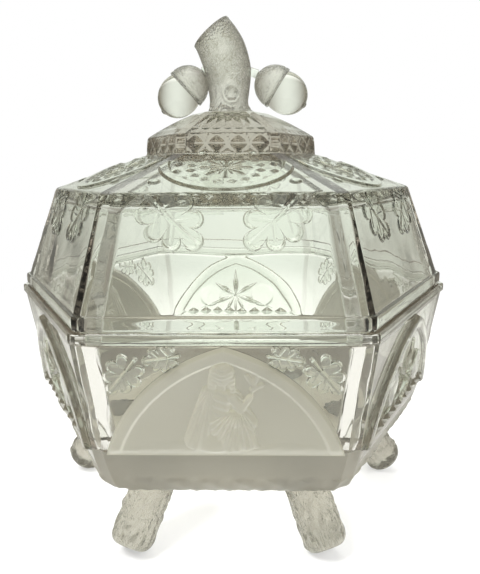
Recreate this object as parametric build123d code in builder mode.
from build123d import *
import os
from math import atan2, cos, radians, sin, sqrt

# Covered butter dish of pressed glass: a six-sided bowl on six log feet, and a lift-off
# cover with a sawn branch and two acorns for a knob. Millimetres, +Z up. The origin is on
# the table under the middle of the dish. A corner of the six-sided plan points along +X
# and a flat panel faces the front, -Y. A radius of a six-sided section is measured from
# the middle to its corner, before the corner is bevelled.

# Bowl
rim_height = 82.0          # table to the top of the rim
rim_radius = 86.0          # rim's corners
rim_band_height = 3.0      # upright band round the rim
rim_corner_round = 2.5
wall_top_inset = 0.7       # wall just under the rim band, in from the rim's corners
heel_inset = 7.5           # where the wall starts to curve in, in from the rim's corners
heel_height = 39.0
underside_inset = 20.5     # flat underside, in from the rim's corners
underside_height = 23.6
heel_bulge = 2.6           # how far the curved-in part swells past a straight bevel
corner_facet = 4.9         # width of the bevel down each upright corner
bowl_glass = 4.6           # thickness of the bowl's walls
floor_glass = 5.5
inner_heel_rise = 1.8      # inside, the wall starts to curve in a little higher
ledge_depth = 3.6          # the cover's seat, below the rim's top
lip_glass = 2.5            # rim left standing outside the seat

# Feet: short sawn logs under the corners, splayed outwards
foot_radius = 7.6
foot_end_round = 3.6
foot_splay = 40.0          # degrees from upright
foot_inset = 19.0          # middle of a foot's end, in from the rim's corners
foot_flat = 0.5            # depth worn flat where a foot meets the table
foot_sink = 9.0            # length of log traced back into the bowl, before it is trimmed

# Pointed arches on the bowl's panels, measured on the sloping panel
arch_relief = 2.0
arch_half_width = 36.0
arch_foot = 3.5            # above the heel
arch_apex_gap = 0.5        # from the apex up to the rim band
arch_bulge = 6.8           # how far each side bows out from its chord
arch_frame = 4.8           # width of the raised frame at its feet
field_depth = 1.1          # field sunk inside the frame
field_foot_rise = 2.4      # above the arch's foot
field_apex_drop = 6.2      # below the arch's apex
field_bulge = 5.8
star_rise = 10.6           # middle of the star above the field's foot
star_relief = 0.9
star_notch = 3.2           # middle of the star to the notch between two points
star_reach = (14.0, 13.4, 7.4, 8.6, 9.4, 8.6, 7.4, 13.4)   # its points, from the top one
boss_radius = 5.4          # round bosses on each side of the star
boss_offset = 14.6

# Cover
cover_clearance = 0.35     # between the cover's skirt and the rim's lip, all round
bead_inset = 1.7           # bead round the cover's foot, in from the rim's corners
bead_underside_gap = 0.4   # bead stays this far above the rim
bead_height = 4.1
cover_foot_inset = 3.0     # wall just above the bead, in from the rim's corners
shoulder_inset = 16.1      # where wall and roof meet, in from the rim's corners
cover_wall_rise = 33.8     # bead's top to the shoulder
roof_top_radius = 34.6
roof_rise = 12.0           # shoulder to the roof's top
cover_glass = 5.0          # thickness of the cover's walls
roof_glass = 5.0

# Fans on the roof panels, measured up the slope from the shoulder
fan_radius = 22.0
fan_centre = 23.4
fan_ring = 3.6
fan_relief = 0.7
burst_centre = 19.5        # middle of the star cut in a fan
burst_points = 8
burst_reach = 8.6
burst_notch = 2.6
burst_relief = 0.4
diamond_ring = 12.6        # small diamonds stand round the star at this radius
diamond_length = 6.4
diamond_width = 3.2
dot_radius = 2.0
dot_across = 20.7
dot_up = 9.7

# Oak leaves
leaf_length = 21.0
leaf_relief = 0.8
cover_leaf_across = 15.5   # middle of a leaf from the middle of a cover panel
cover_leaf_down = 9.3      # below the shoulder
cover_leaf_turn = 32.0     # degrees from hanging straight down
corner_leaf_across = 27.5  # on the bowl's frosted panels, in the corner beside the arch
corner_leaf_down = 9.0     # below the rim band
corner_leaf_size = 0.72    # against a leaf on the cover
corner_leaf_turn = 38.0    # degrees from hanging straight down

# Crown under the knob
crown_step = 1.0           # crown stands back from the roof's top edge
crown_taper = 0.6
crown_band_height = 6.6
crown_shoulder_inset = 4.2
crown_shoulder_rise = 2.2
crown_waist_inset = 11.6
crown_waist_rise = 3.8
crown_top_radius = 14.5
crown_top_rise = 3.0
crown_facet = 3.6

# Branch
branch_root_x = -0.5       # the root stands a little off the middle
branch_root_radius = 7.2
branch_straight = 11.4     # upright length before it bends
branch_bend_start_radius = 7.9
branch_bend_radius = 28.0
branch_bend = 40.0         # degrees
branch_elbow_radius = 9.0  # the branch is thickest half way round the bend
branch_cut_radius = 8.3
root_cuff_radius = 9.3
root_cuff_height = 2.4

# Acorns
acorn_cup_radius = 8.0
acorn_cup_depth = 9.0
acorn_nut_radius = 7.8
acorn_nut_half_length = 9.2
acorn_nut_rise = 3.6       # thickest part of the nut, beyond the cup's lip
twig_radius = 2.3
acorn_places = {           # side: (across from root, up from root, degrees below level)
    "left": (-16.2, 9.2, 43.0),
    "right": (18.4, 9.3, 32.0),
}

FEET = {"foot_right": 0, "foot_back_right": 60, "foot_back_left": 120,
        "foot_left": 180, "foot_front_left": 240, "foot_front_right": 300}
FROSTED_PANELS = {"frosted_arch_front": 270, "frosted_arch_back_right": 30,
                  "frosted_arch_back_left": 150}
STAR_PANELS = {"star_arch_back": 90, "star_arch_front_left": 210,
               "star_arch_front_right": 330}
PANELS = {**FROSTED_PANELS, **STAR_PANELS}

FLAT = cos(radians(30))    # middle-to-panel distance over middle-to-corner distance


def corner_cut(facet_width):
    """Length that a bevel of this width takes off each side of a 120 degree corner."""
    return facet_width / sqrt(3)


def section(radius, height, facet_width):
    """Six-sided section at a height, with its corners bevelled."""
    with BuildSketch(Plane.XY.offset(height)) as outline:
        RegularPolygon(radius=radius, side_count=6)
        chamfer(outline.vertices(), length=corner_cut(facet_width))
    return outline.sketch


def stack(*stations):
    """Straight-sided solid through six-sided sections, each (radius, height, facet)."""
    with BuildPart() as body:
        for lower, upper in zip(stations, stations[1:]):
            loft([section(*lower), section(*upper)], ruled=True)
    return body.part


def panel_plane(azimuth, radius_low, height_low, radius_high, height_high):
    """Plane on a sloping panel: X across, Y up the slope, origin at its lower middle."""
    run = (radius_high - radius_low) * FLAT
    slope = atan2(height_high - height_low, run)
    turn = radians(azimuth)
    out = radius_low * FLAT
    normal = (cos(turn) * sin(slope), sin(turn) * sin(slope), -cos(slope))
    return Plane(origin=(out * cos(turn), out * sin(turn), height_low),
                 x_dir=(-sin(turn), cos(turn), 0), z_dir=normal)


def panel_length(radius_low, height_low, radius_high, height_high):
    """Length of a panel up its slope."""
    return sqrt(((radius_high - radius_low) * FLAT) ** 2 + (height_high - height_low) ** 2)


def pointed_arch(plane, half_width, foot, apex, bulge):
    """Pointed arch on a panel, each side one arc from the foot to the apex."""
    rise = apex - foot
    chord = sqrt(half_width ** 2 + rise ** 2)
    across = half_width / 2 + bulge * rise / chord
    up = (foot + apex) / 2 + bulge * half_width / chord
    with BuildSketch(plane) as outline:
        with BuildLine():
            Line((-half_width, foot), (half_width, foot))
            ThreePointArc((half_width, foot), (across, up), (0, apex))
            ThreePointArc((0, apex), (-across, up), (-half_width, foot))
        make_face()
    return outline.sketch


def oak_leaf(plane, across, up, turn, length):
    """Lobed leaf, its tip towards -Y of the panel before it is turned."""
    with BuildSketch(plane) as outline:
        with Locations(Location((across, up), turn)):
            Ellipse(length * 0.14, length * 0.46)
            with Locations((0, -length * 0.40)):
                Circle(length * 0.15)
            for lobe_up, reach in ((-0.20, 0.22), (0.05, 0.27), (0.29, 0.21)):
                for side in (-1, 1):
                    place = (side * length * reach * 0.62, length * (lobe_up - 0.04))
                    with Locations(Location(place, side * 62)):
                        Ellipse(length * 0.11, length * reach * 0.72)
    return outline.sketch


def star(plane, up, reaches, notch):
    """Star on a panel: a point for each reach, clockwise from the top, and notches between."""
    step = radians(360 / len(reaches))
    points = []
    for number, reach in enumerate(reaches):
        for turn, radius in ((number, reach), (number + 0.5, notch)):
            points.append((radius * sin(turn * step), up + radius * cos(turn * step)))
    with BuildSketch(plane) as outline:
        with BuildLine():
            Polyline(*reversed(points), close=True)
        make_face()
    return outline.sketch


wall_top_radius = rim_radius - wall_top_inset
heel_radius = rim_radius - heel_inset
underside_radius = rim_radius - underside_inset
wall_top_height = rim_height - rim_band_height
seat_height = rim_height - ledge_depth
wall_slope = (wall_top_radius - heel_radius) / (wall_top_height - heel_height)
BOWL_WALL = (heel_radius, heel_height, wall_top_radius, wall_top_height)
bowl_wall_length = panel_length(*BOWL_WALL)
arch_apex = bowl_wall_length - arch_apex_gap


def bowl_wall_radius(height):
    """Corner radius of the bowl's outer wall at a height above the heel."""
    return heel_radius + wall_slope * (height - heel_height)


# Bowl
middle_radius = (underside_radius + heel_radius) / 2 + heel_bulge
middle_height = (underside_height + heel_height) / 2 - heel_bulge
bowl_outside = stack(
    (underside_radius, underside_height, corner_facet),
    (middle_radius, middle_height, corner_facet),
    (heel_radius, heel_height, corner_facet),
    (wall_top_radius, wall_top_height, corner_facet),
)
inner_step = bowl_glass / FLAT
floor_height = underside_height + floor_glass
inner_heel_height = heel_height + inner_heel_rise
bowl_inside = stack(
    (underside_radius - inner_step / 2, floor_height, corner_facet),
    (bowl_wall_radius(inner_heel_height) - inner_step, inner_heel_height, corner_facet),
    (bowl_wall_radius(seat_height) - inner_step, seat_height, corner_facet),
)
lip_radius = rim_radius - lip_glass / FLAT

with BuildPart() as bowl:
    add(bowl_outside)
    with BuildSketch(Plane.XY.offset(wall_top_height)) as rim_outline:
        RegularPolygon(radius=rim_radius, side_count=6)
        fillet(rim_outline.vertices(), radius=rim_corner_round)
    extrude(amount=rim_band_height)
    for panel_azimuth in FROSTED_PANELS.values():
        panel = panel_plane(panel_azimuth, *BOWL_WALL)
        for hand in (-1, 1):
            leaf = oak_leaf(panel, hand * corner_leaf_across, bowl_wall_length - corner_leaf_down,
                            hand * corner_leaf_turn, leaf_length * corner_leaf_size)
            extrude(leaf, amount=leaf_relief)
    add(bowl_inside, mode=Mode.SUBTRACT)
    with BuildSketch(Plane.XY.offset(seat_height)) as seat_outline:
        RegularPolygon(radius=lip_radius, side_count=6)
        chamfer(seat_outline.vertices(), length=corner_cut(corner_facet))
    extrude(amount=ledge_depth, mode=Mode.SUBTRACT)
bowl.part.label = "bowl"

# Feet: a log with a rounded end, trimmed by the bowl above and the table below
axis_out = sin(radians(foot_splay))
axis_down = cos(radians(foot_splay))
foot_spread = rim_radius - foot_inset
foot_end_height = (foot_end_round * (1 - axis_down) - foot_flat
                   + (foot_radius - foot_end_round) * axis_out)
foot_length = (underside_height - foot_end_height) / axis_down + foot_sink
feet = {}
for name, azimuth in FEET.items():
    turn = radians(azimuth)
    log_plane = Plane(
        origin=(foot_spread * cos(turn), foot_spread * sin(turn), foot_end_height),
        x_dir=(-sin(turn), cos(turn), 0),
        z_dir=(-axis_out * cos(turn), -axis_out * sin(turn), axis_down))
    with BuildPart() as foot:
        with BuildSketch(log_plane):
            Circle(foot_radius)
        extrude(amount=foot_length)
        fillet(foot.edges().sort_by(Axis.Z)[0], radius=foot_end_round)
        split(bisect_by=Plane.XY, keep=Keep.TOP)
        add(bowl_outside, mode=Mode.SUBTRACT)
    foot.part.label = name
    feet[name] = foot.part

# Pointed arches: a raised frame round a sunk field
arches = {}
for name, azimuth in PANELS.items():
    panel = panel_plane(azimuth, *BOWL_WALL)
    with BuildPart() as arch:
        extrude(pointed_arch(panel, arch_half_width, arch_foot, arch_apex, arch_bulge),
                amount=arch_relief)
        field_plane = panel.offset(arch_relief - field_depth)
        field_foot = arch_foot + field_foot_rise
        field = pointed_arch(field_plane, arch_half_width - arch_frame, field_foot,
                             arch_apex - field_apex_drop, field_bulge)
        extrude(field, amount=field_depth, mode=Mode.SUBTRACT)
        if name in STAR_PANELS:
            star_up = field_foot + star_rise
            extrude(star(field_plane, star_up, star_reach, star_notch), amount=star_relief)
            with BuildSketch(field_plane):
                with Locations((-boss_offset, star_up), (boss_offset, star_up)):
                    Circle(boss_radius)
            extrude(amount=star_relief)
    arch.part.label = name
    arches[name] = arch.part

# Cover
burst_start = 180 / burst_points - 90      # degrees: the diamonds stand between the points
skirt_radius = lip_radius - cover_clearance / FLAT
bead_radius = rim_radius - bead_inset
cover_foot_radius = rim_radius - cover_foot_inset
shoulder_radius = rim_radius - shoulder_inset
bead_bottom = rim_height + bead_underside_gap
bead_top = bead_bottom + bead_height
shoulder_height = bead_top + cover_wall_rise
roof_top_height = shoulder_height + roof_rise
cover_slope = (cover_foot_radius - shoulder_radius) / cover_wall_rise
COVER_WALL = (cover_foot_radius, bead_top, shoulder_radius, shoulder_height)
ROOF = (shoulder_radius, shoulder_height, roof_top_radius, roof_top_height)
roof_length = panel_length(*ROOF)
roof_foot_half = shoulder_radius / 2 - corner_cut(corner_facet)   # flat between two hips
roof_top_half = roof_top_radius / 2 - corner_cut(corner_facet)
cover_step = cover_glass / FLAT


def cover_wall_radius(height):
    """Corner radius of the cover's outer wall at a height above the bead."""
    return cover_foot_radius - cover_slope * (height - bead_top)


ceiling_height = roof_top_height - roof_glass
inner_shoulder_height = shoulder_height - roof_glass
cover_inside = stack(
    (skirt_radius - cover_step, seat_height, corner_facet),
    (cover_foot_radius - cover_step, bead_top, corner_facet),
    (cover_wall_radius(inner_shoulder_height) - cover_step, inner_shoulder_height,
     corner_facet),
    (roof_top_radius, ceiling_height, corner_facet),
)

with BuildPart() as cover_shell:
    add(stack((cover_foot_radius, bead_top, corner_facet),
              (shoulder_radius, shoulder_height, corner_facet),
              (roof_top_radius, roof_top_height, corner_facet)))
    with BuildSketch(Plane.XY.offset(bead_bottom)) as bead_outline:
        RegularPolygon(radius=bead_radius, side_count=6)
        fillet(bead_outline.vertices(), radius=rim_corner_round)
    extrude(amount=bead_height)
    add(section(skirt_radius, seat_height, corner_facet))
    extrude(amount=bead_bottom - seat_height)
    for panel_azimuth in PANELS.values():
        wall = panel_plane(panel_azimuth, *COVER_WALL)
        leaf_up = panel_length(*COVER_WALL) - cover_leaf_down
        for hand in (-1, 1):
            leaf = oak_leaf(wall, hand * cover_leaf_across, leaf_up,
                            -hand * cover_leaf_turn, leaf_length)
            extrude(leaf, amount=leaf_relief)
        roof = panel_plane(panel_azimuth, *ROOF)
        with BuildSketch(roof) as fan:
            with Locations((0, fan_centre)):
                Circle(fan_radius)
                Circle(fan_radius - fan_ring, mode=Mode.SUBTRACT)
            Polygon((-roof_foot_half, 0), (roof_foot_half, 0),
                    (roof_top_half, roof_length), (-roof_top_half, roof_length),
                    align=None, mode=Mode.INTERSECT)
            with Locations((-dot_across, dot_up), (dot_across, dot_up)):
                Circle(dot_radius)
        extrude(amount=fan_relief)
        with BuildSketch(roof) as burst:
            add(star(roof, burst_centre, (burst_reach,) * burst_points, burst_notch))
            with Locations(Location((0, burst_centre))):
                with PolarLocations(diamond_ring, burst_points, start_angle=burst_start):
                    Polygon((-diamond_length / 2, 0), (0, -diamond_width / 2),
                            (diamond_length / 2, 0), (0, diamond_width / 2), align=None)
            with Locations((0, fan_centre)):
                Circle(fan_radius - fan_ring, mode=Mode.INTERSECT)
            Polygon((-roof_foot_half, 0), (roof_foot_half, 0),
                    (roof_top_half, roof_length), (-roof_top_half, roof_length),
                    align=None, mode=Mode.INTERSECT)
        extrude(amount=burst_relief)
    add(cover_inside, mode=Mode.SUBTRACT)
cover_shell.part.label = "cover_shell"

# Crown
crown_radius = roof_top_radius - crown_step
crown_levels = [roof_top_height]
for rise in (crown_band_height, crown_shoulder_rise, crown_waist_rise, crown_top_rise):
    crown_levels.append(crown_levels[-1] + rise)
with BuildPart() as crown:
    add(stack((crown_radius, crown_levels[0], crown_facet),
              (crown_radius - crown_taper, crown_levels[1], crown_facet),
              (crown_radius - crown_shoulder_inset, crown_levels[2], crown_facet),
              (crown_radius - crown_waist_inset, crown_levels[3], crown_facet),
              (crown_top_radius, crown_levels[4], crown_facet)))
crown.part.label = "crown"
root_height = crown_levels[-1]

# Branch: upright from its root, then bending to the left, sawn square to its own axis
bend_start = root_height + branch_straight
root_plane = Plane(origin=(branch_root_x, 0, root_height), x_dir=(0, 1, 0), z_dir=(0, 0, 1))


def bend_plane(degrees_round):
    """Plane square to the branch, this far round its bend."""
    turn = radians(degrees_round)
    return Plane(origin=(branch_root_x - branch_bend_radius * (1 - cos(turn)), 0,
                         bend_start + branch_bend_radius * sin(turn)),
                 x_dir=(0, 1, 0), z_dir=(-sin(turn), 0, cos(turn)))


with BuildPart() as branch:
    for section_plane, section_radius in (
            (root_plane, branch_root_radius), (bend_plane(0), branch_bend_start_radius),
            (bend_plane(branch_bend / 2), branch_elbow_radius),
            (bend_plane(branch_bend), branch_cut_radius)):
        with BuildSketch(section_plane):
            Circle(section_radius)
    loft()
    with BuildSketch(root_plane):
        Circle(root_cuff_radius)
    extrude(amount=root_cuff_height, taper=20)
branch.part.label = "branch"

# Acorns: a cup and a nut modelled upright, the cup's lip at the origin and the nut above it
with BuildPart() as cup_form:
    Sphere(acorn_cup_radius, arc_size1=-90, arc_size2=0,
           align=(Align.CENTER, Align.CENTER, Align.MAX))
cup_scale = (1, 1, acorn_cup_depth / acorn_cup_radius)
with BuildPart() as nut_form:
    Sphere(acorn_nut_radius)
nut_scale = (1, 1, acorn_nut_half_length / acorn_nut_radius)

acorns = {}
for side, (across, up, dip) in acorn_places.items():
    hand = -1 if side == "left" else 1
    tilt = radians(dip)
    axis = Vector(hand * cos(tilt), 0, -sin(tilt))
    joint = Vector(branch_root_x + across, 0, root_height + up)
    acorn_plane = Plane(origin=joint, x_dir=(0, 1, 0), z_dir=axis)
    cup_end = joint - axis * acorn_cup_depth
    twig_root = Vector(branch_root_x, 0, cup_end.Z)
    with BuildPart() as cup:
        with Locations(acorn_plane.location):
            add(scale(cup_form.part, by=cup_scale, mode=Mode.PRIVATE))
        with BuildSketch(Plane(origin=twig_root, x_dir=(0, 1, 0), z_dir=cup_end - twig_root)):
            Circle(twig_radius)
        extrude(amount=(cup_end - twig_root).length + twig_radius)
        add(branch.part, mode=Mode.SUBTRACT)
    cup.part.label = f"acorn_cup_{side}"
    with BuildPart() as nut:
        with Locations(acorn_plane.offset(acorn_nut_rise).location):
            add(scale(nut_form.part, by=nut_scale, mode=Mode.PRIVATE))
        split(bisect_by=acorn_plane, keep=Keep.TOP)
    nut.part.label = f"acorn_nut_{side}"
    acorns[cup.part.label] = cup.part
    acorns[nut.part.label] = nut.part

os.makedirs("parts", exist_ok=True)
export_step(bowl.part, "parts/bowl.step")
export_step(cover_shell.part, "parts/cover_shell.step")
export_step(crown.part, "parts/crown.step")
export_step(branch.part, "parts/branch.step")
for name, piece in {**feet, **arches, **acorns}.items():
    export_step(piece, f"parts/{name}.step")
